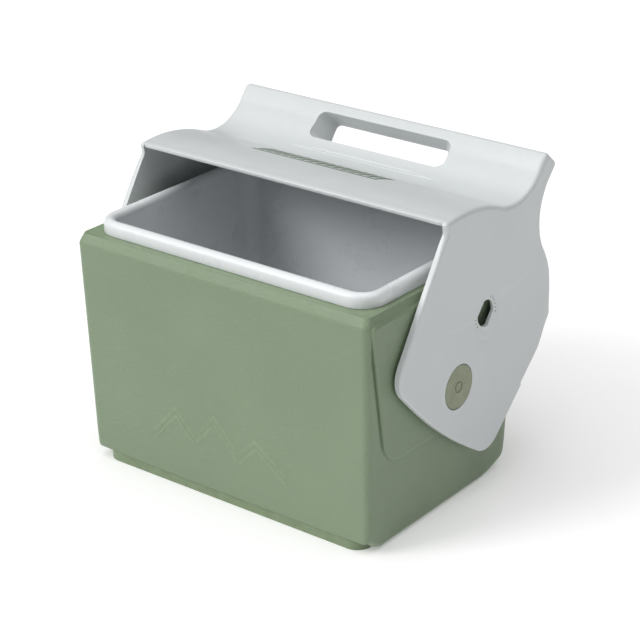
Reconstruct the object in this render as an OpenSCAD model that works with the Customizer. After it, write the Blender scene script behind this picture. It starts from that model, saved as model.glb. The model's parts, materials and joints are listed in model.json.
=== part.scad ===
// Small tent-top cooler chest: insulated body, swing lid carried on two side arms,
// side push-button latch. Millimetres, +Z up, +X right, +Y rear, origin on the floor
// under the middle of the body. Drawn with the lid swung back on its rear stop.

/* [Body] */

// outside half length of the body side walls at the top
body_half_len = 132.6; // [126:0.2:133]
// outside half depth of the body at the widest line, under the top chamfer
body_half_dep = 100.8; // [96:0.2:101]
// how much the side walls draw in from top to bottom, each side
side_draft = 2.7; // [0:0.1:4]
// how much the front and rear walls draw in from top to bottom, each side
face_draft = 7.9; // [4:0.1:9]
// height of the body ledge above the floor
ledge_z = 185.3; // [184:0.1:186]
// radius of the upright body corners
corner_r = 6; // [5:0.5:9]
// wall thickness of the outer shell
shell_t = 2.6; // [2:0.1:3]
// height of the foot under the body
foot_h = 8; // [6:0.5:9]

/* [Liner] */

// half length of the rim bead, measured to its outer face
rim_half_len = 125.4; // [122:0.2:126]
// half depth of the rim bead, measured to its outer face
rim_half_dep = 90; // [86:0.2:90.4]
// width of the rim bead
bead_w = 9; // [8:0.5:10]
// height of the rim bead above the ledge
bead_h = 10.2; // [8:0.1:10.4]
// plan radius of the rim corners
rim_r = 20; // [16:1:24]
// wall thickness of the liner
liner_t = 2.2; // [1.8:0.1:2.6]
// height of the liner floor above the ground, inside
liner_floor_z = 22; // [20:1:30]

/* [Lid] */

// height of the lid pivot above the floor
pivot_z = 101.3; // [100.5:0.1:102]
// rearward lean of the lid as drawn
lid_lean = 39.5; // [38:0.5:40]
// outside radius of the lid slopes, centred on the pivot
lid_r = 131.8; // [131.6:0.1:134]
// wall thickness of the lid slopes
lid_t = 2.5; // [2:0.1:2.6]
// outside half length over the two arms
arm_x = 140.5; // [140:0.1:142]
// thickness of the arms
arm_t = 4.5; // [4:0.1:4.8]
// height of the ridge top above the pivot
ridge_top = 181.5; // [178:0.5:186]
// half width of the ridge top
ridge_half = 9.2; // [8.6:0.1:10]
// radius of the hollow sweep between slope and ridge
sweep_r = 44; // [40:1:46]
// angle of the lid lip from the lid centreline, at the pivot
lip_angle = 48.6; // [48:0.1:49]
// half length of the grip slot
slot_half = 62; // [56:1:66]
// height of the grip slot
slot_h = 27; // [25:0.5:28]
// height of the middle of the grip slot above the pivot
slot_z = 160.8; // [160:0.2:161.4]

/* [Pivots] */

// radius of the pivot pins
pin_r = 8; // [6:0.5:9]
// radius of the round caps on the pins
cap_r = 16.7; // [15:0.1:18]
// radial running gap between pin and arm
pin_gap = 0.08; // [0.04:0.01:0.1]

/* [Latch] */

// height of the latch hole above the pivot
latch_z = 56; // [54:0.5:58]
// distance of the latch hole in front of the lid centreline
latch_off = 5; // [3:0.5:6]
// half height of the latch hole
latch_half_h = 10.1; // [9:0.1:10.5]
// half width of the latch hole, across its two flats
latch_half_w = 8.1; // [7:0.1:8.5]

/* [Hidden] */

$fn = 96;

green = [0.52, 0.60, 0.49];
dark_green = [0.44, 0.50, 0.41];
pale = [0.84, 0.86, 0.86];
grey = [0.74, 0.76, 0.77];
steel = [0.60, 0.60, 0.62];
foam_c = [0.93, 0.91, 0.82];

eps = 0.01;
fit = 0.15;                                  // gap between parts seated in each other
past = 30;                                   // cutters run at least this far past a wall
far = 300;                                   // reach of the wedges that trim the lid section
fine = 240;                                  // facets of the largest circles
low_x = body_half_len - side_draft;          // half length of the body at its foot
low_y = body_half_dep - face_draft;          // half depth of the body at its foot
chamfer_h = 6.8;                             // height of the chamfer under the ledge
chamfer_in = 3.9;                            // how far the chamfer draws the top in
chamfer_side = 2.3;                          // the same at the sides
foot_edge = 1.6;                             // edge rounding at the bottom of the walls
foot_in = 2.3;                               // foot set in from the front and back
foot_side_in = 8.5;                          // foot set in from the sides
foot_r = 12;                                 // corner radius of the foot
skirt_r = 3;                                 // rounding along the bottom of the side skirts
skirt_z = 0.8;                               // side skirts end this far above the floor
skirt_y = 78;                                // half length of the side skirts
rear_r = 18;                                 // radius of the rear body corners
bead_r = 4.5;                                // rounding of the rim bead
mouth_x = rim_half_len - bead_w;             // half length of the mouth inside the bead
mouth_y = rim_half_dep - bead_w;             // half depth of the mouth inside the bead
mouth_r = rim_r - bead_w;                    // corner radius of the mouth
liner_in = 7;                                // draft of the liner walls, each side
pad_top_x = 134.6;                           // side pad face at its top edge
pad_low_x = 131.8;                           // side pad face at its bottom edge
pad_z0 = 65;                                 // side pad bottom edge
pad_z1 = 181;                                // side pad top edge
pad_r = 22;                                  // lower corner radius of the side pads
pad_top_half = 96;                           // half width of the side pads near the top
pad_low_half = 79.2;                         // half width of the side pads at the corner centres
pad_edge = 3;                                // bevel along the top edge of the side pads
pad_lean = atan((pad_top_x - pad_low_x) / (pad_z1 - pad_z0));
pad_a = atan((pad_top_half - pad_low_half) / (pad_z1 - pad_edge - pad_z0 - pad_r));
pad_c_y = pad_low_half - pad_r / cos(pad_a); // centre of the lower pad corners
arm_in = arm_x - arm_t;                      // inner face of the arms
lid_ri = lid_r - lid_t;                      // inside radius of the lid slopes
neck_half = 8.8;                             // half width of the neck under the ridge
sweep_y = neck_half + sweep_r;               // centre of the hollow sweep
sweep_a = asin(sweep_y / (lid_r + sweep_r));
sweep_z = (lid_r + sweep_r) * cos(sweep_a);
neck_base = lid_r * sin(sweep_a);            // half width of the neck where it meets the slopes
crease_y = 20.5;                             // crease line under the grip slot
crease_z = sweep_z - sqrt(pow(sweep_r, 2) - pow(sweep_y - crease_y, 2)) - 0.4;
arm_low_half = 82;                           // half width of the arms at the pivot
arm_slope = 0.135;                           // widening of the arms per unit height
arm_a = atan(arm_slope);
arm_bottom = 34.8;                           // lowest edge of the arms below the pivot
arm_curve = 430;                             // radius of the slightly bowed lower edge
arm_corner_r = 20;                           // lower corner radius of the arms
arm_c_z = -10.6;                             // centre of the lower arm corners
arm_c_y = arm_low_half + arm_slope * arm_c_z - arm_corner_r / cos(arm_a);
sh_r = 12;                                   // shoulder radius of the arms
sh_b = arm_low_half - sh_r / cos(arm_a);
sh_k = 1 + pow(arm_slope, 2);
sh_z = (sqrt(pow(sh_b * arm_slope, 2) - sh_k * (pow(sh_b, 2) - pow(lid_r - sh_r, 2)))
        - sh_b * arm_slope) / sh_k;
sh_y = sh_b + arm_slope * sh_z;
lip_a = 3.1;                                 // angle covered by the lip band
lip_out = 0.8;                               // how far the lip band stands out
lip_r = 3;                                   // lip band ends this far inside the arms
slot_r = 10;                                 // corner radius of the grip slot
boss_tilt = 4;                               // lean of the raised collar at the latch hole
cap_t = 1.5;                                 // thickness of the pivot caps
cap_gap = 0.35;                              // gap round the pivot caps
washer_t = 1.2;                              // thickness of the friction washers
boss_x0 = 127.6;                             // inner face of the pivot bosses
boss_x = 134.3;                              // outer face of the pivot bosses
boss_r = 19;                                 // radius of the pivot bosses
socket_r = 14;                               // radius of the pivot sockets
socket_x0 = 118.6;                           // inner end of the pivot sockets
stop_r0 = 15;                                // stop lug, inner radius
stop_r1 = 18.6;                              // stop lug, outer radius
stop_h = 1;                                  // how far the stop lug enters the arm
stop_a = 12;                                 // half angle of the stop lug
button_x = 135.65;                           // outer face of the latch button, held in
button_half_h = 8.7;                         // half height of the latch button
button_half_w = 7;                           // half width of the button across its flats
flange_x = 126;                              // inner face of the button flange
tube_r = 10.6;                               // outer radius of the latch tube
tube_x = 133.9;                              // outer end of the latch tube
chamber_x = 131;                             // outer end of the spring chamber
back_x = 120;                                // inner face of the latch back plate
housing_r = 13.5;                            // radius of the latch housing flange
spring_r = 6.5;                              // outer radius of the latch spring
spring_turns = 2.2;                          // turns of the latch spring
wire_t = 0.7;                                // thickness of its wire
latch_world_z = pivot_z + latch_z;
bead_lift = 0.3;                             // the rim bead clears the ledge by this much
seat_h = 4;                                  // the liner wall runs this far up inside the bead
pad_x0 = 124;                                // the pads reach this deep into the side walls
ridge_edge = 3;                              // rounding of the ridge top
neck_z0 = 60;                                // the neck outline starts here, inside the slopes
neck_lap = 6;                                // the neck walls start this far below the sweep centres
crease_rib_r = 1.2;                          // radius of the crease ribs
crease_reach = 2;                            // the ribs run this far past the grip slot
collar_r = 19.6;                             // collar round the latch hole, at its foot
collar_top_r = 15;                           // the same at its face
collar_h = 2.9;                              // height of the collar cone
collar_in = 2.2;                             // depth of its foot inside the arm
collar_y = -1;                               // middle of the collar, ahead of the centreline
collar_drop = 3;                             // middle of the collar above the latch hole
stop_gap = 0.4;                              // room round the stop lugs
stop_over = 1.2;                             // angle the lid could pass each stop by
mark_r0 = 3.5;                               // ring mark in the pivot caps, inner radius
mark_r1 = 4.4;                               // ring mark, outer radius
mark_depth = 0.5;                            // depth of the ring mark
cap_sink = 0.1;                              // caps lie this far below the arm face
socket_end = 2;                              // thickness of the socket's closed end
sleeve_t = 2;                                // outside of the grip sleeve to its opening
cover_t = 1.7;                               // thickness of the cover under the ridge
cover_gap = 0.1;                             // cover stands off the slopes' inside radius
cover_half = 60;                             // half width and height of the wedge that trims it
cover_z = 260;
tube_t = 1.2;                                // wall of the latch tube
plate_t = 1.6;                               // thickness of the latch back plate
plate_gap = 0.1;                             // gap between the back plate and what sits on it
seat_x = back_x + plate_t + plate_gap;       // where the housing and the spring start
housing_t = 4;                               // thickness of the housing flange
button_gap = 0.3;                            // gap between the button and its guide
flange_t = 1.6;                              // thickness of the button flange
flange_gap = 1.5;                            // the flange is this much smaller than the tube
wire_half_a = 50;                            // half angle of the wire section
wire_step = 25;                              // angle between points of the wire section

// four round posts at the corners of a rectangle, half sizes hx and hy, rear radius rb
module slab(hx, hy, r, rb, z, h) {
    for (sx = [-1, 1]) {
        translate([sx * (hx - r), r - hy, z]) cylinder(r = r, h = h, $fn = 32);
        translate([sx * (hx - rb), hy - rb, z]) cylinder(r = rb, h = h, $fn = 48);
    }
}

// plan outline with exact round corners
module plan(hx, hy, r) {
    square([2 * (hx - r), 2 * hy], center = true);
    square([2 * hx, 2 * (hy - r)], center = true);
    for (sx = [-1, 1], sy = [-1, 1]) translate([sx * (hx - r), sy * (hy - r)]) circle(r = r);
}

// tapered body block between two heights, drawn in by t on every side
module body_block(t, z0, z1) {
    r = corner_r - t / 2;
    rb = rear_r - t;
    hull() {
        slab(low_x - t - foot_edge, low_y - t - foot_edge, r, rb, z0, eps);
        slab(low_x - t, low_y - t, r, rb, foot_h + foot_edge, eps);
        slab(body_half_len - t, body_half_dep - t, r, rb, ledge_z - chamfer_h - t / 2, eps);
        slab(body_half_len - t - chamfer_side, body_half_dep - t - chamfer_in, r, rb, z1 - eps, eps);
    }
}

// sweeps a profile (x outward, y up) round a rounded rectangle
module ring_sweep(hx, hy, r) {
    for (q = [0, 1]) rotate([0, 0, 180 * q]) {
        translate([-(hx - r), -hy, 0]) rotate([90, 0, 90]) linear_extrude(2 * (hx - r))
            mirror([1, 0]) children();
        translate([hx, -(hy - r), 0]) rotate([90, 0, 0]) mirror([0, 0, 1])
            linear_extrude(2 * (hy - r)) children();
        translate([hx - r, hy - r, 0]) rotate_extrude(angle = 90) translate([r, 0]) children();
        translate([-(hx - r), hy - r, 0]) rotate([0, 0, 90]) rotate_extrude(angle = 90)
            translate([r, 0]) children();
    }
}

// draws a side-view outline (x rearward, y up) as a plate from x0, thickness t
module plate(x0, t) {
    translate([x0, 0, 0]) rotate([90, 0, 90]) linear_extrude(t) children();
}

// round bar along +X
module bar(x0, len, r) {
    translate([x0, 0, 0]) rotate([0, 90, 0]) cylinder(r = r, h = len);
}

// moves lid parts from the closed pose about the pivot to the drawn pose
module on_lid() {
    translate([0, 0, pivot_z]) rotate([-lid_lean, 0, 0]) children();
}

module pad_outline() {
    polygon([
        [-pad_c_y, pad_z0], [pad_c_y, pad_z0],
        [pad_c_y + pad_r * cos(pad_a), pad_z0 + pad_r - pad_r * sin(pad_a)],
        [pad_top_half, pad_z1 - pad_edge], [pad_top_half - pad_edge / 2, pad_z1],
        [pad_edge / 2 - pad_top_half, pad_z1], [-pad_top_half, pad_z1 - pad_edge],
        [-pad_c_y - pad_r * cos(pad_a), pad_z0 + pad_r - pad_r * sin(pad_a)]
    ]);
    for (s = [-1, 1]) translate([s * pad_c_y, pad_z0 + pad_r]) circle(r = pad_r);
}

// raised pad behind the arm on the +X side, its face leaning out with the wall
module pad_block() {
    intersection() {
        plate(pad_x0, pad_top_x - pad_x0 + pad_edge) pad_outline();
        translate([pad_low_x, 0, pad_z0]) rotate([0, pad_lean, 0])
            translate([-past, -far / 2, -past]) cube([past, far, far]);
        translate([pad_top_x - pad_edge, 0, pad_z1]) rotate([0, 45, 0])
            translate([-far, -far / 2, -far]) cube(far);
    }
}

// low skirt under the side wall on the +X side, hiding the set-in foot
module side_skirt() {
    x1 = low_x - foot_edge;
    for (s = [-1, 1]) translate([x1 - skirt_r, s * skirt_y, skirt_z]) cylinder(r = skirt_r, h = foot_h);
    translate([x1 - 2 * skirt_r, -skirt_y, skirt_z]) cube([skirt_r, 2 * skirt_y, foot_h]);
    translate([x1 - skirt_r - eps, -skirt_y, skirt_z + skirt_r]) cube([skirt_r + eps, 2 * skirt_y, foot_h]);
    translate([x1 - skirt_r, -skirt_y, skirt_z + skirt_r]) rotate([-90, 0, 0])
        cylinder(r = skirt_r, h = 2 * skirt_y);
}

module outer_shell() {
    color(green) difference() {
        union() {
            body_block(0, foot_h, ledge_z);
            for (s = [0, 1]) mirror([s, 0, 0]) {
                pad_block();
                side_skirt();
                translate([0, 0, pivot_z]) {
                    bar(boss_x0, boss_x - boss_x0, boss_r);
                    plate(boss_x - 1, arm_in - boss_x + 1 + stop_h) sector(stop_r0, stop_r1, stop_a);
                }
            }
        }
        difference() {
            body_block(shell_t, foot_h - 1, ledge_z - shell_t);
            for (s = [0, 1]) mirror([s, 0, 0]) translate([0, 0, pivot_z]) bar(boss_x0, past, boss_r);
        }
        translate([0, 0, ledge_z - shell_t - 1]) linear_extrude(shell_t + 2)
            plan(rim_half_len - 2.5, rim_half_dep - 2.5, rim_r - 2.5);
        for (s = [0, 1]) mirror([s, 0, 0]) translate([0, 0, pivot_z]) bar(socket_x0, past, pin_r + fit);
        translate([0, -latch_off, latch_world_z]) bar(back_x, past, tube_r + fit);
    }
}

module base_foot() {
    color(dark_green) difference() {
        linear_extrude(foot_h) plan(low_x - foot_side_in, low_y - foot_in, foot_r);
        translate([0, 0, shell_t]) linear_extrude(foot_h)
            plan(low_x - foot_side_in - shell_t, low_y - foot_in - shell_t, foot_r - shell_t);
    }
}

module bead_profile() {
    translate([0, ledge_z + bead_lift]) square([bead_w, bead_h - bead_r]);
    translate([bead_r, ledge_z + bead_h - bead_r + bead_lift]) {
        circle(r = bead_r);
        translate([-bead_r, -1]) square([bead_w, 1]);
    }
    translate([0, ledge_z - seat_h]) square([liner_t, 2 * seat_h]);
}

module inner_liner() {
    color(grey) {
        difference() {
            liner_block(liner_t, liner_floor_z - liner_t, ledge_z + seat_h);
            liner_block(0, liner_floor_z, ledge_z + seat_h + 2);
        }
        ring_sweep(mouth_x, mouth_y, mouth_r) bead_profile();
    }
}

// tapered block with the shape of the storage space, grown by t
module liner_block(t, z0, z1) {
    hull() {
        slab(mouth_x - liner_in + t, mouth_y - liner_in + t, mouth_r + t, mouth_r + t, z0, eps);
        slab(mouth_x + t, mouth_y + t, mouth_r + t, mouth_r + t, z1 - eps, eps);
    }
}

module insulation() {
    color(foam_c) difference() {
        body_block(shell_t + fit, foot_h + fit, ledge_z - shell_t - 0.5);
        liner_block(liner_t + fit, liner_floor_z - liner_t - fit, ledge_z + seat_h);
        for (s = [0, 1]) mirror([s, 0, 0]) translate([0, 0, pivot_z]) {
            bar(socket_x0 - 1, past, socket_r + fit);
            bar(boss_x0 - fit, past, boss_r + fit);
        }
        translate([0, -latch_off, latch_world_z]) bar(back_x - fit, past, housing_r + fit);
        translate([0, 0, ledge_z - 9]) linear_extrude(12)
            plan(rim_half_len - 1, rim_half_dep - 1, rim_r - 1);
    }
}

// flat ring sector about the pivot, centred on +Z, half angle a
module sector(r0, r1, a) {
    intersection() {
        difference() {
            circle(r = r1);
            circle(r = r0);
        }
        polygon([[0, 0], [-2 * r1 * tan(a), 2 * r1], [2 * r1 * tan(a), 2 * r1]]);
    }
}

// wider ring sector, for half angles past 45 degrees
module wide_sector(r0, r1, a) {
    intersection() {
        difference() {
            circle(r = r1);
            circle(r = r0);
        }
        polygon([[0, 0], [-2 * r1 * sin(a), 2 * r1 * cos(a)], [0, 4 * r1],
                 [2 * r1 * sin(a), 2 * r1 * cos(a)]]);
    }
}

// filled lid section above the lip; t draws it in to the inside face
module lid_section(t) {
    intersection() {
        circle(r = lid_r - t, $fn = fine);
        polygon([[0, 0], [-far * sin(lip_angle), far * cos(lip_angle)], [0, 2 * far],
                 [far * sin(lip_angle), far * cos(lip_angle)]]);
    }
    difference() {
        translate([-neck_base, neck_z0]) square([2 * neck_base, sweep_z - neck_z0]);
        for (s = [-1, 1]) translate([s * sweep_y, sweep_z]) circle(r = sweep_r + t);
    }
    translate([t - neck_half, sweep_z - neck_lap])
        square([2 * (neck_half - t), ridge_top - t - sweep_z + neck_lap]);
    if (t == 0) {
        for (s = [-1, 1]) translate([s * (ridge_half - ridge_edge), ridge_top - ridge_edge])
            circle(r = ridge_edge);
        translate([ridge_edge - ridge_half, ridge_top - 2 * ridge_edge])
            square([2 * (ridge_half - ridge_edge), 2 * ridge_edge]);
    }
}

// one arm and end wall, side view
module arm_outline() {
    lid_section(0);
    intersection() {
        circle(r = lid_r, $fn = fine);
        translate([0, arm_curve - arm_bottom]) circle(r = arm_curve, $fn = 360);
        union() {
            polygon([
                [-arm_c_y, -arm_bottom - 1], [arm_c_y, -arm_bottom - 1],
                [arm_c_y + arm_corner_r * cos(arm_a), arm_c_z - arm_corner_r * sin(arm_a)],
                [sh_y + sh_r * cos(arm_a), sh_z - sh_r * sin(arm_a)],
                [sh_y * lid_r / (lid_r - sh_r), sh_z * lid_r / (lid_r - sh_r)], [0, lid_r],
                [-sh_y * lid_r / (lid_r - sh_r), sh_z * lid_r / (lid_r - sh_r)],
                [-sh_y - sh_r * cos(arm_a), sh_z - sh_r * sin(arm_a)],
                [-arm_c_y - arm_corner_r * cos(arm_a), arm_c_z - arm_corner_r * sin(arm_a)]
            ]);
            for (s = [-1, 1]) {
                translate([s * arm_c_y, arm_c_z]) circle(r = arm_corner_r);
                translate([s * sh_y, sh_z]) circle(r = sh_r);
            }
        }
    }
}

// rounded slot outline in front view, drawn in by t
module slot_outline(t) {
    translate([0, slot_z]) plan(slot_half - t, slot_h / 2 - t, slot_r - t);
}

// outline with two flats, half width w across the flats
module flats(r, w) {
    intersection() {
        circle(r = r);
        square([2 * w, 3 * r], center = true);
    }
}

module lid_shell() {
    color(pale) on_lid() difference() {
        union() {
            plate(-arm_in - eps, 2 * arm_in + 2 * eps) difference() {
                lid_section(0);
                lid_section(lid_t);
                circle(r = lid_r - lid_t, $fn = fine);
            }
            plate(lip_r - arm_in, 2 * arm_in - 2 * lip_r) lip_band();
            for (s = [0, 1]) mirror([s, 0, 0]) plate(arm_in, arm_t) arm_outline();
            for (s = [-1, 1]) translate([0, s * crease_y, crease_z])
                bar(-slot_half - crease_reach, 2 * (slot_half + crease_reach), crease_rib_r);
            translate([arm_x - collar_in, collar_y, latch_z - collar_drop]) rotate([0, 0, -boss_tilt])
                rotate([0, 90, 0]) cylinder(r1 = collar_r, r2 = collar_top_r, h = collar_h);
        }
        rotate([90, 0, 0]) linear_extrude(2 * past, center = true) slot_outline(0);
        for (s = [0, 1]) mirror([s, 0, 0]) {
            bar(arm_in - 1, arm_t + 2, pin_r + pin_gap);
            bar(arm_x - cap_t - stop_gap, past, cap_r + cap_gap);
            plate(arm_in - 1, 1 + stop_h + stop_gap)
                wide_sector(stop_r0 - stop_gap, stop_r1 + stop_gap, lid_lean + stop_a + stop_over);
        }
        translate([0, -latch_off, latch_z]) plate(arm_in - 1, past) flats(latch_half_h, latch_half_w);
    }
}

// thick band along both lower edges of the lid slopes
module lip_band() {
    difference() {
        circle(r = lid_r + lip_out, $fn = fine);
        circle(r = lid_r - 1, $fn = fine);
        polygon([[0, 0], [-far * sin(lip_angle - lip_a), far * cos(lip_angle - lip_a)], [0, 2 * far],
                 [far * sin(lip_angle - lip_a), far * cos(lip_angle - lip_a)]]);
        polygon([[0, 0], [far * sin(lip_angle), far * cos(lip_angle)], [far, -far], [-far, -far],
                 [-far * sin(lip_angle), far * cos(lip_angle)]]);
    }
}

module grip_sleeve() {
    color(pale) on_lid() intersection() {
        rotate([90, 0, 0]) linear_extrude(2 * past, center = true) difference() {
            slot_outline(fit);
            slot_outline(sleeve_t);
        }
        plate(-slot_half - 1, 2 * slot_half + 2) lid_section(0);
    }
}

// curved plate closing the hollow under the ridge
module lid_cover() {
    color(pale) on_lid() plate(fit - arm_in, 2 * (arm_in - fit)) intersection() {
        difference() {
            circle(r = lid_ri + cover_gap + cover_t, $fn = fine);
            circle(r = lid_ri + cover_gap, $fn = fine);
            for (s = [-1, 1]) translate([s * sweep_y, sweep_z]) circle(r = sweep_r + lid_t + fit);
        }
        polygon([[0, 0], [-cover_half, cover_z], [cover_half, cover_z]]);
    }
}

module pivot_socket(s) {
    color(green) mirror([s, 0, 0]) translate([0, 0, pivot_z]) difference() {
        bar(socket_x0, boss_x0 - socket_x0 - fit, socket_r);
        bar(socket_x0 + socket_end, past, pin_r + fit);
    }
}

module pivot_pin(s) {
    color(steel) mirror([s, 0, 0]) translate([0, 0, pivot_z])
        bar(socket_x0 + socket_end + fit, arm_x - cap_t - socket_x0 - socket_end - fit, pin_r);
}

module pivot_cap(s) {
    color(dark_green) mirror([s, 0, 0]) translate([0, 0, pivot_z]) difference() {
        bar(arm_x - cap_t, cap_t - cap_sink, cap_r);
        difference() {
            bar(arm_x - cap_sink - mark_depth, past, mark_r1);
            bar(arm_x - 1, 2 * past, mark_r0);
        }
    }
}

module pivot_washer(s) {
    color(dark_green) mirror([s, 0, 0]) translate([0, 0, pivot_z]) difference() {
        bar(boss_x + plate_gap, washer_t, stop_r0 - 2 * stop_gap);
        bar(boss_x - 1, past, pin_r + fit);
    }
}

module latch_housing() {
    color(dark_green) translate([0, -latch_off, latch_world_z]) difference() {
        union() {
            bar(seat_x, tube_x - seat_x, tube_r);
            bar(seat_x, housing_t, housing_r);
        }
        bar(back_x, chamber_x - back_x, tube_r - tube_t);
        plate(chamber_x - 1, past) flats(button_half_h + button_gap, button_half_w + button_gap);
    }
}

module latch_button() {
    color(dark_green) translate([0, -latch_off, latch_world_z]) {
        plate(flange_x, button_x - flange_x) flats(button_half_h, button_half_w);
        bar(flange_x, flange_t, tube_r - flange_gap);
    }
}

// one arc of wire, turned along the axis into a coil
module wire_arc(r0, r1, a) {
    polygon([
        for (q = [-a:wire_step:a]) r1 * [cos(q), sin(q)],
        for (q = [a:-wire_step:-a]) r0 * [cos(q), sin(q)]
    ]);
}

module latch_spring() {
    color(steel) translate([seat_x, -latch_off, latch_world_z]) rotate([0, 90, 0])
        linear_extrude(height = flange_x - seat_x - plate_gap / 2, twist = -360 * spring_turns,
                       slices = 44, $fn = 16)
            wire_arc(spring_r - wire_t, spring_r, wire_half_a);
}

module latch_backplate() {
    color(dark_green) translate([0, -latch_off, latch_world_z]) bar(back_x, plate_t, housing_r);
}

outer_shell();
base_foot();
inner_liner();
insulation();
lid_shell();
grip_sleeve();
lid_cover();
pivot_socket(1);  // pivot_socket_l
pivot_socket(0);  // pivot_socket_r
pivot_pin(1);  // pivot_pin_l
pivot_pin(0);  // pivot_pin_r
pivot_cap(1);  // pivot_cap_l
pivot_cap(0);  // pivot_cap_r
pivot_washer(1);  // pivot_washer_l
pivot_washer(0);  // pivot_washer_r
latch_housing();
latch_button();
latch_spring();
latch_backplate();
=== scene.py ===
import bmesh
import bpy
import json
import math
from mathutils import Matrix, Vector


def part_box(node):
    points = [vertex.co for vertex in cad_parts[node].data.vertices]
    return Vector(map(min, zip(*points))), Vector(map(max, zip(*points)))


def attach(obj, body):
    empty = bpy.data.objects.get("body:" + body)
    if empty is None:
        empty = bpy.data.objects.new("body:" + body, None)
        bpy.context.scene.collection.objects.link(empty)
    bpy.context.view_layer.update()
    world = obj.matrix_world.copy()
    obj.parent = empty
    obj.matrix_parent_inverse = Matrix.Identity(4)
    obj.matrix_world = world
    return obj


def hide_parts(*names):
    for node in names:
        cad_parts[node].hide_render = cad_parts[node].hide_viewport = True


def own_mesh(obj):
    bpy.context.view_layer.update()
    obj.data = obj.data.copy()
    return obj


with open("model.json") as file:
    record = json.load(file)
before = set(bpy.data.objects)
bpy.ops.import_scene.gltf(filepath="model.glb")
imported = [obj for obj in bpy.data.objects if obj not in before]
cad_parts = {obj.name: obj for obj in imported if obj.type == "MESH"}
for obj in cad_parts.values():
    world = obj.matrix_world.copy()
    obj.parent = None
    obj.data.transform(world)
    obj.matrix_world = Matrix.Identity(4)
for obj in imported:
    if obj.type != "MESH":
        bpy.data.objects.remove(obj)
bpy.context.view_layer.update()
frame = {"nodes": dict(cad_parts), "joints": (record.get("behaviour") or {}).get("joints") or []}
MM = 0.001

# ---------------------------------------------------------------- camera and studio
AIM = Vector((0.0278, -0.0153, 0.1286))
AZIMUTH, ELEVATION, DISTANCE, LENS = 37.335, 23.953, 1.5, 115.3


def back_vector(azimuth, elevation):
    a, e = math.radians(azimuth), math.radians(elevation)
    return Vector((math.sin(a) * math.cos(e), -math.cos(a) * math.cos(e), math.sin(e)))


camera_data = bpy.data.cameras.new("camera")
camera_data.sensor_width, camera_data.lens = 36.0, LENS
camera = bpy.data.objects.new("camera", camera_data)
bpy.context.collection.objects.link(camera)
camera.location = AIM + back_vector(AZIMUTH, ELEVATION) * DISTANCE
camera.rotation_euler = (math.radians(90.0 - ELEVATION), 0.0, math.radians(AZIMUTH))
bpy.context.scene.camera = camera


def lamp(name, kind, azimuth, elevation, distance=2.4, **values):
    data = bpy.data.lights.new(name, kind)
    for key, value in values.items():
        setattr(data, key, value)
    obj = bpy.data.objects.new(name, data)
    bpy.context.collection.objects.link(obj)
    back = back_vector(azimuth, elevation)
    obj.location = Vector((0, 0, 0.12)) + back * distance
    obj.rotation_euler = back.to_track_quat("Z", "Y").to_euler()


lamp("key", "SUN", -34, 34, energy=1.5, angle=math.radians(26))
lamp("top", "SUN", -10, 84, energy=2.3, angle=math.radians(80))

scene = bpy.context.scene
scene.view_settings.view_transform = "Standard"
world = bpy.data.worlds.new("studio")
scene.world = world
world.use_nodes = True
tree = world.node_tree
sky = tree.nodes["Background"]
sky.inputs["Strength"].default_value = 0.04
backdrop = tree.nodes.new("ShaderNodeBackground")
backdrop.inputs["Color"].default_value = (1, 1, 1, 1)
rays = tree.nodes.new("ShaderNodeLightPath")
choose = tree.nodes.new("ShaderNodeMixShader")
sky.inputs["Color"].default_value = (1, 1, 1, 1)
tree.links.new(rays.outputs["Is Camera Ray"], choose.inputs[0])
tree.links.new(sky.outputs[0], choose.inputs[1])
tree.links.new(backdrop.outputs[0], choose.inputs[2])
tree.links.new(choose.outputs[0], tree.nodes["World Output"].inputs["Surface"])

# ---------------------------------------------------------------- mesh helpers


def shade(mesh, angle=32.0):
    mesh.shade_smooth()
    mesh.set_sharp_from_angle(angle=math.radians(angle))


def mesh_object(name, verts, faces, angle=32.0):
    mesh = bpy.data.meshes.new(name)
    mesh.from_pydata([tuple(v) for v in verts], [], faces)
    bm = bmesh.new()
    bm.from_mesh(mesh)
    bmesh.ops.remove_doubles(bm, verts=bm.verts, dist=4e-6)
    bmesh.ops.recalc_face_normals(bm, faces=bm.faces)
    bm.to_mesh(mesh)
    bm.free()
    obj = bpy.data.objects.new(name, mesh)
    bpy.context.collection.objects.link(obj)
    shade(mesh, angle)
    return obj


def loft(rings):
    """Closed skin through equal-length rings, both ends capped."""
    n = len(rings[0])
    faces = [tuple(reversed(range(n))), tuple((len(rings) - 1) * n + i for i in range(n))]
    for k in range(len(rings) - 1):
        for i in range(n):
            j = (i + 1) % n
            faces.append((k * n + i, k * n + j, (k + 1) * n + j, (k + 1) * n + i))
    return [v for ring in rings for v in ring], faces


def carve(obj, cutters, operation="DIFFERENCE"):
    """Exact booleans, applied; the cutters are used up."""
    for cutter in cutters:
        modifier = obj.modifiers.new("cut", "BOOLEAN")
        modifier.operation, modifier.solver, modifier.object = operation, "EXACT", cutter
    bpy.context.view_layer.update()
    graph = bpy.context.evaluated_depsgraph_get()
    old = obj.data
    obj.data = bpy.data.meshes.new_from_object(obj.evaluated_get(graph), depsgraph=graph)
    obj.modifiers.clear()
    bpy.data.meshes.remove(old)
    for cutter in cutters:
        bpy.data.objects.remove(cutter, do_unlink=True)


def finish_mesh(obj, angle=32.0):
    shade(obj.data, angle)
    modifier = obj.modifiers.new("normals", "WEIGHTED_NORMAL")
    modifier.mode, modifier.weight, modifier.keep_sharp = "FACE_AREA", 60, True


def smoothstep(a, b, x):
    t = min(1.0, max(0.0, (x - a) / (b - a)))
    return t * t * (3 - 2 * t)


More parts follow.
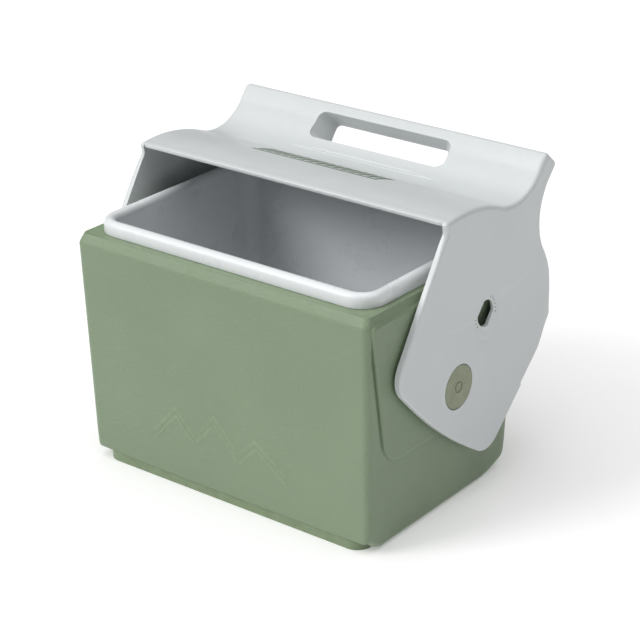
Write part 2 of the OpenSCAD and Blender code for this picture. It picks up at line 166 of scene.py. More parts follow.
def resample(points, step, closed=True):
    """Points at even spacing along a polyline."""
    pts = points + [points[0]] if closed else points
    lengths = [0.0]
    for p, q in zip(pts, pts[1:]):
        lengths.append(lengths[-1] + math.dist(p, q))
    count = max(8, round(lengths[-1] / step))
    out, k = [], 0
    for i in range(count if closed else count + 1):
        s = lengths[-1] * i / count
        while k < len(pts) - 2 and lengths[k + 1] < s:
            k += 1
        f = (s - lengths[k]) / max(1e-9, lengths[k + 1] - lengths[k])
        out.append(tuple(a + (b - a) * f for a, b in zip(pts[k], pts[k + 1])))
    return out


def arc(cx, cy, r, a0, a1, n):
    """Points on a circle, angles in degrees from +y towards +x."""
    return [
        (cx + r * math.sin(math.radians(a0 + (a1 - a0) * i / n)),
         cy + r * math.cos(math.radians(a0 + (a1 - a0) * i / n)))
        for i in range(n + 1)
    ]


# ---------------------------------------------------------------- lid
PIVOT_Z = next(j for j in frame["joints"] if j["name"] == "lid_swing")["pos_m"][2] / MM
LEAN = math.radians(39.5)
LID_R, WALL, LIP_ANGLE, LIP_OUT = 131.8, 2.5, 48.6, 0.8
ARM_X, ARM_T = 140.5, 4.5
NECK_HALF, SWEEP_R, RIDGE_HALF, RIDGE_TOP = 8.8, 44.0, 9.2, 182.2
SLOT_HALF, SLOT_H, SLOT_Z, SLOT_R = 60.0, 23.0, 160.8, 6.0
CREASE_HALF, CREASE_Y, CREASE_R, CREASE_PROUD = 70.0, 18.2, 1.9, 1.15
ARM_LOW_HALF, ARM_SLOPE, ARM_BOTTOM, ARM_BOW = 82.0, 0.135, 34.8, 430.0
ARM_CORNER_Z, ARM_CORNER_R, SHOULDER_R = -10.6, 20.0, 11.0
RIDGE_R = 3.5           # rounding of the ridge top
SWEEP_Y = NECK_HALF + SWEEP_R
SWEEP_A = math.asin(SWEEP_Y / (LID_R + SWEEP_R))
SWEEP_Z = (LID_R + SWEEP_R) * math.cos(SWEEP_A)


def lid_point(x, y, z):
    """Lid coordinates in mm, from the pivot with the lid upright, to the row frame in metres."""
    c, s = math.cos(LEAN), math.sin(LEAN)
    return (x * MM, (y * c + z * s) * MM, (-y * s + z * c + PIVOT_Z) * MM)


def roof_line():
    """Outer line of the roof from the front lip over the ridge to the rear lip."""
    sweep_a = math.degrees(SWEEP_A)
    half = arc(0, 0, LID_R, -(LIP_ANGLE - 1.0), -sweep_a, 40)
    half += arc(-SWEEP_Y, SWEEP_Z, SWEEP_R, 180 - sweep_a, 92, 28)[1:]
    half += [(-RIDGE_HALF, SWEEP_Z + 6), (-RIDGE_HALF, RIDGE_TOP - RIDGE_R)]
    half += arc(RIDGE_R - RIDGE_HALF, RIDGE_TOP - RIDGE_R, RIDGE_R, -90, 0, 6)[1:]
    return half + [(-y, z) for y, z in reversed(half)]


def arm_line():
    """Rear shoulder of an arm, and the line from its rear corner round to the front lip."""
    k = math.hypot(1, ARM_SLOPE)
    tilt = math.degrees(math.atan(ARM_SLOPE))
    corner_y = ARM_LOW_HALF + ARM_SLOPE * ARM_CORNER_Z - ARM_CORNER_R * k
    low_rear = arc(corner_y, ARM_CORNER_Z, ARM_CORNER_R, 90 + tilt, 172, 10)
    bow = [(y, ARM_BOW - ARM_BOTTOM - math.sqrt(ARM_BOW ** 2 - y * y)) for y in range(48, -49, -8)]
    b = ARM_LOW_HALF - SHOULDER_R * k
    a2 = 1 + ARM_SLOPE ** 2
    z = (math.sqrt((b * ARM_SLOPE) ** 2 - a2 * (b * b - (LID_R - SHOULDER_R) ** 2)) - b * ARM_SLOPE) / a2
    y = b + ARM_SLOPE * z
    shoulder = arc(y, z, SHOULDER_R, math.degrees(math.atan2(y, z)), 90 + tilt, 10)
    front = [(-82.0, 0), (-85.2, 24), (-87.9, 44), (-90.0, 60), (-91.7, 74)]
    front += arc(-98.2, 79.3, 6.2, 98, 42, 5)
    tip = arc(-95.2, 87.5, 2.4, -140, -50, 6)
    return shoulder, low_rear + bow + [(-p[0], p[1]) for p in reversed(low_rear)] + front + tip


def lid_outline():
    """Whole side view of the lid: roof, rear shoulder and arm."""
    roof = roof_line()
    shoulder, arm = arm_line()
    top = [p for p in roof if p[0] < 0 or math.degrees(math.atan2(p[0], p[1])) < 38.0]
    return resample(top + shoulder + arm, 1.6)


def winding(line):
    """1.0 where outline_normals point into the outline, -1.0 where they point out of it."""
    area = sum(p[0] * q[1] - q[0] * p[1] for p, q in zip(line, line[1:] + line[:1]))
    return -1.0 if area < 0 else 1.0


def outline_normals(pts):
    """Unit normals of a closed outline, smoothed over two points each way."""
    n = len(pts)
    out = []
    for i in range(n):
        (ax, ay), (bx, by) = pts[i - 2], pts[(i + 2) % n]
        d = Vector((by - ay, ax - bx)).normalized()
        out.append((-d.x, -d.y))
    return out


def edge_radius(y, z):
    """Rounding between the lid's outer face and its edge, by place on the outline."""
    angle = math.degrees(math.atan2(y, z))
    if angle < -60 or angle > 70:
        return 1.5
    front = 1.5 + 2.0 * smoothstep(-56, -46, angle)
    rear = 10.5 * smoothstep(22, 44, angle) - 10.0 * smoothstep(46, 57, angle)
    return max(1.5, front + rear)


def drum(name, line, half_x, radius_of, steps=8):
    """Closed solid along X with the side-view line as its section and rounded outer rims."""
    normals = outline_normals(line)
    inward = winding(line)
    rings = []
    for side in (-1, 1):
        order = range(steps + 1) if side < 0 else range(steps, -1, -1)
        for k in order:
            t = math.pi / 2 * k / steps
            ring = []
            for (y, z), (ny, nz) in zip(line, normals):
                r = radius_of(y, z)
                inset = r * (1 - math.sin(t)) * inward
                x = half_x - r * (1 - math.cos(t))
                ring.append(lid_point(side * x, y + ny * inset, z + nz * inset))
            rings.append(ring)
    verts, faces = loft(rings)
    return mesh_object(name, verts, faces)


def prism(name, line, x0, x1):
    """Closed solid along X between x0 and x1 from a side-view line in lid coordinates."""
    verts, faces = loft([[lid_point(x, y, z) for y, z in line] for x in (x0, x1)])
    return mesh_object(name, verts, faces)


def rounded_box_ring(half_x, z0, z1, r, y, n=8):
    """Rounded rectangle across the tunnel at one y."""
    pts = []
    for sx, top, a0 in ((1, 1, 0), (1, 0, 90), (-1, 0, 180), (-1, 1, 270)):
        cx, cz = sx * (half_x - r), (z1 - r) if top else (z0 + r)
        for i in range(n + 1):
            a = math.radians(a0 + 90 * i / n)
            pts.append((cx + r * math.sin(a), y, cz + r * math.cos(a)))
    return pts


def slot_cutter():
    """Tunnel through the ridge: it narrows rearward and opens out at both mouths."""
    rings = []
    for y in (-30, -14, -12, -10.5, -9.5, -8.5, -7.5, -6, -3, 3, 6, 7.3, 8.4, 9.3, 10, 12, 30):
        f = smoothstep(-10, 8, y)
        mouth = max(0.0, -y - 7.0) if y < 0 else max(0.0, y - 7.0)
        grow = 3.0 * (1 - math.exp(-0.22 * mouth)) + 0.05 * mouth
        half = SLOT_HALF + 1.0 - 8.5 * f + grow
        top = SLOT_Z + SLOT_H / 2 - 2.4 * f + 0.75 * grow
        low = SLOT_Z - SLOT_H / 2 + 1.3 - 0.3 * grow
        ring = rounded_box_ring(half, low, top, SLOT_R - 2.5 * f + grow, y)
        rings.append([lid_point(*p) for p in ring])
    verts, faces = loft(rings)
    return mesh_object("slot_cutter", verts, faces)


def crease_bar(name, side, drop, half, r, sides, reach_of):
    """Round bar along the foot of the ridge; reach_of(u) is its distance from the sweep's centre."""
    a = math.asin((SWEEP_Y - CREASE_Y - drop) / SWEEP_R)
    rings = []
    for i in range(41):
        u = -1 + i / 20
        reach = reach_of(u)
        cy, cz = SWEEP_Y - reach * math.sin(a), SWEEP_Z - reach * math.cos(a)
        turns = [2 * math.pi * k / sides for k in range(sides)]
        rings.append([lid_point(half * u, side * (cy + r * math.sin(t)), cz + r * math.cos(t))
                      for t in turns])
    verts, faces = loft(rings)
    return mesh_object(name, verts, faces)


def crease_rib(side):
    """Slim raised rib along the foot of the ridge that sinks away at both ends."""
    return crease_bar("crease_rib", side, 0.0, CREASE_HALF, CREASE_R, 20,
                      lambda u: SWEEP_R + CREASE_R - CREASE_PROUD * (1 - abs(u) ** 3) + 0.35)


def crease_groove(side):
    """Narrow groove beside the crease rib."""
    return crease_bar("crease_groove", side, 2.3, CREASE_HALF + 2, 1.2, 16,
                      lambda u: SWEEP_R - 1.3 + 1.25 * (1 - u ** 4))


def disc_cutter(r, x0, x1, cy=0.0, cz=0.0, n=96):
    """Round cutter along X."""
    turns = [2 * math.pi * i / n for i in range(n)]
    line = [(cy + r * math.sin(t), cz + r * math.cos(t)) for t in turns]
    return prism("disc_cutter", line, x0, x1)


LATCH_Y, LATCH_Z, LATCH_HALF_H, LATCH_HALF_W = -5.0, 56.0, 10.1, 8.1


def latch_cutter():
    """Round latch hole with its two sides cut flat."""
    a = math.degrees(math.asin(LATCH_HALF_W / LATCH_HALF_H))
    line = arc(0, 0, LATCH_HALF_H, -a, a, 14) + arc(0, 0, LATCH_HALF_H, 180 - a, 180 + a, 14)
    line = [(LATCH_Y + y, LATCH_Z + z) for y, z in line]
    return prism("latch_cutter", line, ARM_X - 12, ARM_X + 12)


COLLAR_Y, COLLAR_Z, COLLAR_H = -1.6, 56.8, 1.78
COLLAR_STEPS = ((21.0, -1.8), (20.0, -0.2), (19.2, 0.45), (18.2, 1.15),
                (17.4, 1.55), (16.8, 1.72), (16.2, COLLAR_H))    # radius, height


def collar_face(y, z):
    """Height along X of the collar's flat face, which leans towards the rear and the pivot."""
    return ARM_X + 0.1 + (y - COLLAR_Y) * 0.075 - (z - COLLAR_Z) * 0.05


def latch_collar():
    """Raised round collar, highest towards the rear and the pivot."""
    rings = []
    for r, h in COLLAR_STEPS:
        ring = []
        for i in range(96):
            a = 2 * math.pi * i / 96
            y, z = COLLAR_Y + r * math.sin(a), COLLAR_Z + r * math.cos(a)
            ring.append(lid_point(collar_face(y, z) + h - COLLAR_H, y, z))
        rings.append(ring)
    verts, faces = loft(rings)
    return mesh_object("latch_collar", verts, faces)


lid = drum("lid_moulding", lid_outline(), ARM_X, edge_radius)
void_line = [(0.0, -10.0)] + arc(0, 0, LID_R - WALL, -58, 58, 80)


def void_radius(y, z):
    """Rounding inside the lid where roof meets arm, dying out before the lips."""
    if z <= 60:
        return 0.2
    return 0.2 + 4.8 * (1 - smoothstep(48, 55, abs(math.degrees(math.atan2(y, z)))))


FAR = 320.0             # reach of the wedge that clears everything below the lips
CAP_SEAT_R, CAP_SEAT_DEPTH, PIN_BORE_R = 17.3, 2.8, 8.08
LATCH_SEAT_R, LATCH_SKIN = 13.5, 1.9
lip_cut = math.radians(LIP_ANGLE - 2.0)
lip_y, lip_z = FAR * math.sin(lip_cut), FAR * math.cos(lip_cut)
below = [(0, 0), (-lip_y, lip_z), (-FAR, -FAR), (FAR, -FAR), (lip_y, lip_z)]
carve(lid, [latch_collar(), crease_rib(-1), crease_rib(1)], "UNION")
carve(lid, [
    drum("void", resample(void_line, 2.0), ARM_X - ARM_T, void_radius, 5),
    prism("below", below, ARM_T - ARM_X, ARM_X - ARM_T),
    slot_cutter(),
    crease_groove(-1),
    crease_groove(1),
    latch_cutter(),
    disc_cutter(LATCH_SEAT_R, ARM_X - ARM_T - 3, ARM_X - LATCH_SKIN, LATCH_Y, LATCH_Z),
    disc_cutter(CAP_SEAT_R, ARM_X - CAP_SEAT_DEPTH, ARM_X + 5),
    disc_cutter(CAP_SEAT_R, -ARM_X - 5, CAP_SEAT_DEPTH - ARM_X),
    disc_cutter(PIN_BORE_R, -ARM_X - 5, ARM_X + 5),
])
finish_mesh(lid)
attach(lid, "lid")
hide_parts("lid_shell", "grip_sleeve", "lid_cover")


LIP_SQUARE, LIP_POINTS, LIP_SINK = 5.0, 24, 0.7
LIP_ENDS = ((0.0, 1.6), (0.5, 0.8), (1.4, 0.3), (3.0, 0.1), (5.0, 0.0))    # inset along X, shrink


def square_off(value):
    """Turns a sine or cosine into the matching coordinate of a squared-off circle."""
    return math.copysign(abs(value) ** (2 / LIP_SQUARE), value)


def lip_strip(name, side, half_x, over):
    """Thickened, rounded lower edge of one slope, closed at both ends."""
    r0, r1 = LID_R - WALL - 0.1, LID_R + LIP_OUT
    mid, half_t = (r0 + r1) / 2, (r1 - r0) / 2
    stations = [(inset - half_x, shrink) for inset, shrink in LIP_ENDS]
    stations += [(half_x - inset, shrink) for inset, shrink in reversed(LIP_ENDS)]
    rings = []
    for x, shrink in stations:
        sink = LIP_SINK * smoothstep(half_x - 7, half_x, abs(x))
        ring = []
        for k in range(LIP_POINTS):
            t = 2 * math.pi * k / LIP_POINTS
            rad = mid + (half_t - shrink * 0.5) * square_off(math.cos(t)) - sink
            ang = LIP_ANGLE - over / 2 + (over / 2 - shrink * 0.3) * square_off(math.sin(t)) - sink
            a = math.radians(ang)
            ring.append(lid_point(x, side * rad * math.sin(a), rad * math.cos(a)))
        rings.append(ring)
    verts, faces = loft(rings)
    strip = mesh_object(name, verts, faces, 50)
    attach(strip, "lid")
    return strip


def merge(solids):
    """Verts and faces of several closed solids, each given as rings."""
    verts, faces = [], []
    for rings in solids:
        v, f = loft(rings)
        faces += [tuple(i + len(verts) for i in face) for face in f]
        verts += v
    return verts, faces


def lid_piece(name, solids, angle=32.0):
    """One piece on the lid made of several closed solids."""
    verts, faces = merge(solids)
    piece = mesh_object(name, verts, faces, angle)
    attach(piece, "lid")
    return piece


PRINT_X0, PRINT_X1, PRINT_TOP, PRINT_H, PRINT_PROUD = -60.0, 55.0, 21.4, 14.0, 0.12


def print_bar(x, width, s0, s1, slant):
    """Thin bar of print on the front slope; s runs down the slope from the top of the print."""
    rings = []
    for i in range(5):
        s = s0 + (s1 - s0) * i / 4
        a = math.radians(PRINT_TOP) + s / LID_R
        ring = []
        low, high = LID_R - 0.3, LID_R + PRINT_PROUD
        for sx, rr in ((-1, low), (1, low), (1, high), (-1, high)):
            ring.append(lid_point(x - slant * s + sx * width / 2, -rr * math.sin(a), rr * math.cos(a)))
        rings.append(ring)
    return rings


def front_print():
    """Plain band of slanted bars over one thin rule."""
    count, slant = 15, 0.35
    pitch = (PRINT_X1 - PRINT_X0) / count
    centres = [PRINT_X0 + pitch * (i + 0.5) for i in range(count)]
    bars = [print_bar(x, pitch * 0.62, 0.0, PRINT_H, slant) for x in centres]
    middle, length = (PRINT_X0 + PRINT_X1) / 2, PRINT_X1 - PRINT_X0
    bars.append(print_bar(middle, length, PRINT_H + 2.2, PRINT_H + 4.2, slant))
    return lid_piece("front_print", bars)


def latch_ticks():
    """Short radial marks on the collar, above and below the latch hole."""
    half_w = 0.38
    ticks = []
    for a_deg in (-8, 6, 20, 34, 48, 62, 196, 210, 224):
        a = math.radians(a_deg)
        rings = []
        for rr in (11.8, 13.6):
            ring = []
            for side, lift in ((-1, -0.3), (1, -0.3), (1, 0.05), (-1, 0.05)):
                y = LATCH_Y + rr * math.sin(a) + side * half_w * math.cos(a)
                z = LATCH_Z + rr * math.cos(a) - side * half_w * math.sin(a)
                ring.append(lid_point(max(ARM_X, collar_face(y, z)) + lift, y, z))
            rings.append(ring)
        ticks.append(rings)
    return lid_piece("latch_ticks", ticks)


band = front_print()
ticks = latch_ticks()
lips = [lip_strip("lid_lip_front", -1, 137.4, 3.1), lip_strip("lid_lip_rear", 1, 128.5, 4.2)]

# ---------------------------------------------------------------- body
FOOT_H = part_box("base_foot")[1][2] / MM
LEDGE_Z, CHAMFER_H, CHAMFER_IN, CHAMFER_SIDE = 185.3, 6.8, 3.9, 2.3
HALF_LEN, HALF_DEP, SIDE_DRAFT, FACE_DRAFT = 132.6, 100.8, 2.7, 7.9
CORNER_R, REAR_R, SHELL_T = 6.0, 18.0, 2.6
WIDE_Z = LEDGE_Z - CHAMFER_H


def plan_ring(hx, hy, rf, rr, across=40, along=30, turn=12):
    """(x, y, nx, ny) round a rounded rectangle, front corners rf, rear corners rr."""
    out = []
    corners = ((-1, -1, rf, 180, across), (1, -1, rf, 270, along),
               (1, 1, rr, 0, across), (-1, 1, rr, 90, along))
    starts = []
    for sx, sy, r, a0, straight in corners:
        cx, cy = sx * (hx - r), sy * (hy - r)
        pts = []
        for i in range(turn + 1):
            a = math.radians(a0 + 90 * i / turn)
            pts.append((cx + r * math.cos(a), cy + r * math.sin(a), math.cos(a), math.sin(a)))
        starts.append((pts, straight))
    for k, (pts, straight) in enumerate(starts):
        nxt = starts[(k + 1) % 4][0][0]
        out += pts
        last = pts[-1]
        for i in range(1, straight):
            f = i / straight
            x, y = (a + (b - a) * f for a, b in zip(last[:2], nxt[:2]))
            out.append((x, y, last[2], last[3]))
    return out


def bottom_height(x, y):
    """The walls end higher at the front and back, where the foot shows, than at the sides."""
    skirt = smoothstep(-93, -76, y) * (1 - smoothstep(50, 92, y)) * smoothstep(116, 126, abs(x))
    return (FOOT_H + 1.2 * (abs(x) / HALF_LEN) ** 3) * (1 - skirt) + 0.9 * skirt


def body_size(z):
    """Half length and half depth of the drafted body at height z."""
    f = (z - FOOT_H) / (WIDE_Z - FOOT_H)
    return HALF_LEN - SIDE_DRAFT * (1 - f), HALF_DEP - FACE_DRAFT * (1 - f)


def body_rings():
    """Body from under the skirt, up the walls, over the chamfer and down inside."""
    rings = []

    def flat_ring(z, *plan):
        return [(x, y, z) for x, y, _, _ in plan_ring(*plan)]

    def ring_at(z, grow=0.0):
        hx, hy = body_size(z)
        return flat_ring(z, hx + grow, hy + grow, CORNER_R + grow, REAR_R + grow)

    hx, hy = body_size(FOOT_H)
    base = plan_ring(hx, hy, CORNER_R, REAR_R)
    heights = [bottom_height(x, y) for x, y, _, _ in base]
    rings.append([(x - 12 * nx, y - 12 * ny, h + 1.2) for (x, y, nx, ny), h in zip(base, heights)])
    for k in range(9):
        t = math.radians(90 * k / 8)
        ring = []
        for (x, y, nx, ny), h in zip(base, heights):
            r = 1.3 + 4.2 * smoothstep(0.25, 0.9, abs(nx))
            inset = r * (1 - math.sin(t))
            ring.append((x - nx * inset, y - ny * inset, h + r * (1 - math.cos(t))))
        rings.append(ring)
    top_z = 22.0
    for f in (0.3, 0.65, 1.0):
        hx, hy = body_size(top_z)
        upper = plan_ring(hx, hy, CORNER_R, REAR_R)
        ring = []
        for p, q in zip(rings[9], upper):
            ring.append(tuple(a + (b - a) * f for a, b in zip(p, (q[0], q[1], top_z))))
        rings.append(ring)
    rings += [ring_at(z) for z in (60, 100, 140, 170, WIDE_Z - 1.2)]
    steps = 5
    slope_s, slope_f = CHAMFER_SIDE / CHAMFER_H, CHAMFER_IN / CHAMFER_H
    for k in range(steps + 1):
        f = k / steps
        z = WIDE_Z - 1.2 + 2.4 * f
        dz = 1.2 * f * f
        rings.append(flat_ring(z, HALF_LEN - slope_s * dz, HALF_DEP - slope_f * dz, CORNER_R, REAR_R))
    for k in range(steps + 1):
        t = math.radians(55 + 35 * k / steps)
        r = 1.6
        z = LEDGE_Z - r + r * math.sin(t)
        grow = r * math.cos(t)
        half_x, half_y = HALF_LEN - CHAMFER_SIDE - r * 0.55 + grow, HALF_DEP - CHAMFER_IN - r * 0.7 + grow
        rings.append(flat_ring(z, half_x, half_y, CORNER_R - 0.9, REAR_R - 2))
    rim_x, rim_y, rim_r = 122.9, 87.5, 17.5
    rings.append(flat_ring(LEDGE_Z, rim_x, rim_y, rim_r, rim_r))
    rings.append(flat_ring(LEDGE_Z - SHELL_T, rim_x, rim_y, rim_r, rim_r))
    for z in (LEDGE_Z - SHELL_T - 0.1, 30.0, 12.5):
        hx, hy = body_size(z)
        t = SHELL_T + 1.5
        rings.append(flat_ring(z, hx - t - 1.5, hy - t - 1.5, CORNER_R - 2, REAR_R - 3))
    return [[tuple(c * MM for c in p) for p in ring] for ring in rings]


PAD_TOP_X, PAD_LOW_X, PAD_Z0, PAD_Z1 = 134.6, 131.8, 65.0, 181.0
GROOVE_R, GROOVE_DEPTH = 5.0, 1.5


def pad_line():
    """Side pad outline (y, z): wide at the top, drawn in to two round lower corners."""
    r, low, top = 22.0, 79.2, 97.5
    tilt = math.degrees(math.atan((top - low) / (PAD_Z1 - PAD_Z0 - r)))
    c = low - r / math.cos(math.radians(tilt))
    right = arc(c, PAD_Z0 + r, r, 90 + tilt, 180, 14)
    half = arc(top - 5, PAD_Z1 - 5, 4, 0, 90 + tilt, 6) + right
    return resample(half + [(-y, z) for y, z in reversed(half)], 1.5)


def pad_groove(side):
    """Round-bottomed groove in the wall along the pad's edge, fading out under the ledge."""
    line = pad_line()
    start = max(range(len(line)), key=lambda i: line[i][1] - abs(line[i][0]) * 0.01)
    path = [p for p in line[start:] + line[:start] if p[1] < 176]
    rings = []
    for i, (y, z) in enumerate(path):
        (ay, az), (by, bz) = path[max(0, i - 1)], path[min(len(path) - 1, i + 1)]
        t = Vector((by - ay, bz - az)).normalized()
        depth = GROOVE_DEPTH * (1 - smoothstep(150, 175, z)) * (0.15 + 0.85 * smoothstep(66, 92, z))
        x = body_size(z)[0] + GROOVE_R - depth
        rings.append([(side * (x + GROOVE_R * math.cos(a)) * MM, (y - t.y * GROOVE_R * math.sin(a)) * MM,
                       (z + t.x * GROOVE_R * math.sin(a)) * MM)
                      for a in (2 * math.pi * k / 20 for k in range(20))])
    verts, faces = loft(rings)
    return mesh_object("pad_groove", verts, faces)


verts, faces = loft(body_rings())
body = mesh_object("body_moulding", verts, faces)
carve(body, [pad_groove(1), pad_groove(-1)])
finish_mesh(body, 40)
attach(body, "chest")
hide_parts("outer_shell")
PAD_EDGE_IN, PAD_EDGE_H = 2.6, 2.2    # rounding of the pad's edge, across and out


def side_pad(name, side):
    """Raised pad on a side wall. Looks only: the CAD shell has no pad under it."""
    line = pad_line()
    normals = outline_normals(line)
    sign = winding(line)
    lean = (PAD_TOP_X - PAD_LOW_X) / (PAD_Z1 - PAD_Z0)
    rings = []
    profile = [(0.0, -5.5), (0.0, -PAD_EDGE_H)]
    for degrees in range(10, 91, 10):
        a = math.radians(degrees)
        profile.append((PAD_EDGE_IN * (1 - math.cos(a)), PAD_EDGE_H * (math.sin(a) - 1)))
    for inset, depth in profile:
        ring = []
        for (y, z), (ny, nz) in zip(line, normals):
            yy, zz = y + ny * inset * sign, z + nz * inset * sign
            x = PAD_LOW_X + lean * (zz - PAD_Z0) + depth
            top = smoothstep(PAD_Z1 - 4.5, PAD_Z1, zz)
            ring.append((side * (x - 1.6 * top) * MM, yy * MM, zz * MM))
        rings.append(ring)
    verts, faces = loft(rings)
    pad = mesh_object(name, verts, faces)
    finish_mesh(pad)
    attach(pad, "chest")
    return pad


pads = [side_pad("side_pad_r", 1), side_pad("side_pad_l", -1)]
RIB_HALF, RIB_TOP, RIB_PROUD = 1.7, 0.8, 0.42


def wall_rib(points):
    """Raised rib on the front wall along a line of (x, z) points, with mitred corners."""
    rings = []
    for i, (x, z) in enumerate(points):
        a, b = points[max(0, i - 1)], points[min(len(points) - 1, i + 1)]
        before, after = Vector((x - a[0], z - a[1])), Vector((b[0] - x, b[1] - z))
        into = before.normalized() if i else after.normalized()
        out = after.normalized() if i < len(points) - 1 else into
        n = Vector((-into.y - out.y, into.x + out.x)).normalized()
        mitre = 1 / max(0.3, n.dot(Vector((-into.y, into.x))))
        ring = []
        for w, proud in ((-RIB_HALF, -0.3), (-RIB_TOP, RIB_PROUD * 0.8), (0.0, RIB_PROUD),
                         (RIB_TOP, RIB_PROUD * 0.8), (RIB_HALF, -0.3)):
            px, pz = x + n.x * w * mitre, z + n.y * w * mitre
            ring.append((px * MM, -(body_size(pz)[1] + proud) * MM, pz * MM))
        rings.append(ring)
    return rings


def wall_ribs():
    """Two nested lines of plain peaks."""
    peaks = ((-66, 42), (-45, 66), (-28, 48), (-8, 70), (14, 45), (30, 62), (58, 42))
    verts, faces = merge([wall_rib([(x, z - drop) for x, z in peaks]) for drop in (0.0, 6.5)])
    piece = mesh_object("front_ribs", verts, faces, 60)
    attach(piece, "chest")
    return piece


ribs = wall_ribs()

# ---------------------------------------------------------------- latch spring


def coil_spring(name, node, wire, turns):
    """Round-wire helix in the space of the CAD spring."""
    low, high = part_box(node)
    centre_y, centre_z = (low[1] + high[1]) / 2, (low[2] + high[2]) / 2
    radius = (high[2] - low[2]) / 2 - wire / 2
    steps, sides = round(turns * 40), 10
    rings = []
    for i in range(steps + 1):
        a = 2 * math.pi * turns * i / steps
        x = low[0] + wire / 2 + (high[0] - low[0] - wire) * i / steps
        out = Vector((0, math.cos(a), math.sin(a)))
        rings.append([Vector((x, centre_y, centre_z)) + out * (radius + wire / 2 * math.cos(t))
                      + Vector((wire / 2 * math.sin(t), 0, 0))
                      for t in (2 * math.pi * k / sides for k in range(sides))])
    verts, faces = loft(rings)
    coil = mesh_object(name, verts, faces, 60)
    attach(coil, "chest")
    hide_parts(node)
    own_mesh(coil)
    return coil


coil = coil_spring("latch_coil", "latch_spring", 0.0007, 2.2)

# ---------------------------------------------------------------- materials


def srgb(r, g, b):
    """Linear colour from 8-bit sRGB values."""
    def lin(c):
        c /= 255
        return c / 12.92 if c <= 0.04045 else ((c + 0.055) / 1.055) ** 2.4
    return tuple(lin(c) for c in (r, g, b))


class Nodes:
    """Short hand for one material's node tree."""

    def __init__(self, name):
        self.material = bpy.data.materials.new(name)
        self.material.use_nodes = True
        self.tree = self.material.node_tree
        self.shader = self.tree.nodes["Principled BSDF"]
        self.coord = self.tree.nodes.new("ShaderNodeTexCoord").outputs["Object"]

    def add(self, kind, inputs=(), **settings):
        node = self.tree.nodes.new(kind)
        for key, value in settings.items():
            setattr(node, key, value)
        for key, value in dict(inputs).items():
            if hasattr(value, "links"):
                self.tree.links.new(value, node.inputs[key])
            else:
                node.inputs[key].default_value = value
        return node

    def noise(self, scale, detail=2.0, rough=0.5):
        return self.add("ShaderNodeTexNoise", {"Vector": self.coord, "Scale": scale, "Detail": detail,
                                               "Roughness": rough}).outputs[0]

    def span(self, value, a, b, c, d):
        return self.add("ShaderNodeMapRange", {"Value": value, 1: a, 2: b, 3: c, 4: d}).outputs[0]

    def maths(self, kind, a, b):
        return self.add("ShaderNodeMath", {0: a, 1: b}, operation=kind).outputs[0]

    def mix(self, factor, a, b, kind="MIX"):
        node = self.add("ShaderNodeMix", data_type="RGBA", blend_type=kind)
        for key, value in ((0, factor), (6, a), (7, b)):
            if hasattr(value, "links"):
                self.tree.links.new(value, node.inputs[key])
            else:
                node.inputs[key].default_value = value
        return node.outputs[2]

    def link(self, value, socket):
        self.tree.links.new(value, self.shader.inputs[socket])


def tone(colour, k):
    return tuple(min(1.0, c * k) for c in colour) + (1,)


def plastic(name, colour, roughness, grain=1500.0, depth=0.00012, pebble=0.0, wear=0.1, mottle=0.04):
    """Moulded plastic: slow colour drift, fine grain, uneven sheen and paler rubbed edges."""
    n = Nodes(name)
    drift = n.span(n.noise(14.0, 3.0), 0.3, 0.7, 0.0, 1.0)
    base = n.mix(drift, tone(colour, 1 - mottle), tone(colour, 1 + mottle))
    speck = n.span(n.noise(2600.0, 1.0), 0.35, 0.65, 0.0, 1.0)
    base = n.mix(n.maths("MULTIPLY", speck, 0.10), base, tone(colour, 1.35))
    edge = n.span(n.add("ShaderNodeNewGeometry").outputs["Pointiness"], 0.505, 0.56, 0.0, wear)
    scuff = n.maths("MULTIPLY", edge, n.span(n.noise(160.0, 4.0), 0.35, 0.7, 0.2, 1.0))
    base = n.mix(scuff, base, tone(colour, 1.7))
    n.link(base, "Base Color")
    n.link(n.span(n.noise(55.0, 4.0), 0.3, 0.7, roughness - 0.05, roughness + 0.06), "Roughness")
    height = n.noise(grain, 2.0, 0.6)
    if pebble:
        voronoi = n.add("ShaderNodeTexVoronoi", {"Vector": n.coord, "Scale": pebble}, feature="SMOOTH_F1")
        cells = voronoi.outputs[0]
        height = n.maths("ADD", n.maths("MULTIPLY", height, 0.5), n.maths("MULTIPLY", cells, -1.0))
    bump = n.add("ShaderNodeBump", {"Height": height, "Strength": 1.0, "Distance": depth})
    n.link(bump.outputs[0], "Normal")
    return n.material


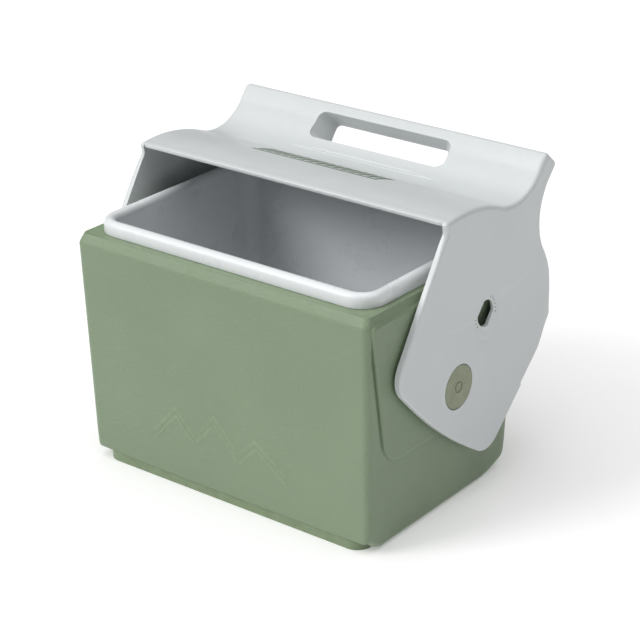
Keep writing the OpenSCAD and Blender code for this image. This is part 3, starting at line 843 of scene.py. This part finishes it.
GREEN = plastic("shell_plastic", srgb(125, 142, 115), 0.44, pebble=950.0, depth=0.0003, wear=0.25)
FOOT = plastic("foot_plastic", srgb(120, 136, 106), 0.5, pebble=900.0, depth=0.0002, wear=0.3)
PALE = plastic("lid_plastic", srgb(206, 210, 211), 0.36, grain=1900.0, depth=0.00005, wear=0.1,
               mottle=0.012)
LINER = plastic("liner_plastic", srgb(226, 229, 231), 0.3, grain=500.0, depth=0.00004, wear=0.1,
                mottle=0.015)
CAP = plastic("pivot_plastic", srgb(128, 136, 108), 0.38, grain=1500.0, depth=0.00006, wear=0.35,
              mottle=0.03)
INK = plastic("print_ink", srgb(98, 116, 92), 0.5, grain=2200.0, depth=0.00003, wear=0.0, mottle=0.06)
TICK = plastic("tick_ink", srgb(128, 132, 132), 0.5, grain=2200.0, depth=0.00003, wear=0.0)
FOAM = plastic("foam", srgb(235, 225, 190), 0.9, grain=800.0, depth=0.0005, wear=0.0)
STEEL = plastic("spring_wire", srgb(150, 150, 148), 0.3, grain=3000.0, depth=0.00002)
STEEL.node_tree.nodes["Principled BSDF"].inputs["Metallic"].default_value = 1.0


def paint(objects, material):
    for obj in objects:
        obj.data.materials.clear()
        obj.data.materials.append(material)


nodes = frame["nodes"]
paint(nodes.values(), GREEN)
paint([nodes["base_foot"]], FOOT)
paint([nodes["inner_liner"]], LINER)
paint([nodes["insulation"]], FOAM)
paint([nodes["latch_spring"], coil], STEEL)
SMALL_PARTS = ("pivot_pin", "pivot_cap", "pivot_washer", "latch_b", "latch_h")
paint([o for name, o in nodes.items() if name.startswith(SMALL_PARTS)], CAP)
paint([lid] + lips, PALE)
paint([body, ribs] + pads, GREEN)
paint([band], INK)
paint([ticks], TICK)

floor_mesh = bpy.data.meshes.new("floor")
FLOOR_HALF, FLOOR_GLOW = 9, 0.28
corners = [(-FLOOR_HALF, -FLOOR_HALF, 0), (FLOOR_HALF, -FLOOR_HALF, 0),
           (FLOOR_HALF, FLOOR_HALF, 0), (-FLOOR_HALF, FLOOR_HALF, 0)]
floor_mesh.from_pydata(corners, [], [(0, 1, 2, 3)])
floor = bpy.data.objects.new("floor", floor_mesh)
bpy.context.collection.objects.link(floor)
paper = Nodes("floor")
paper.link(paper.mix(paper.noise(40.0), (0.8, 0.8, 0.8, 1), (0.81, 0.81, 0.81, 1)), "Base Color")
paper.shader.inputs["Roughness"].default_value = 0.9
paper.shader.inputs["Specular IOR Level"].default_value = 0.1
paper.shader.inputs["Emission Color"].default_value = (1, 1, 1, 1)
paper.shader.inputs["Emission Strength"].default_value = FLOOR_GLOW
paint([floor], paper.material)
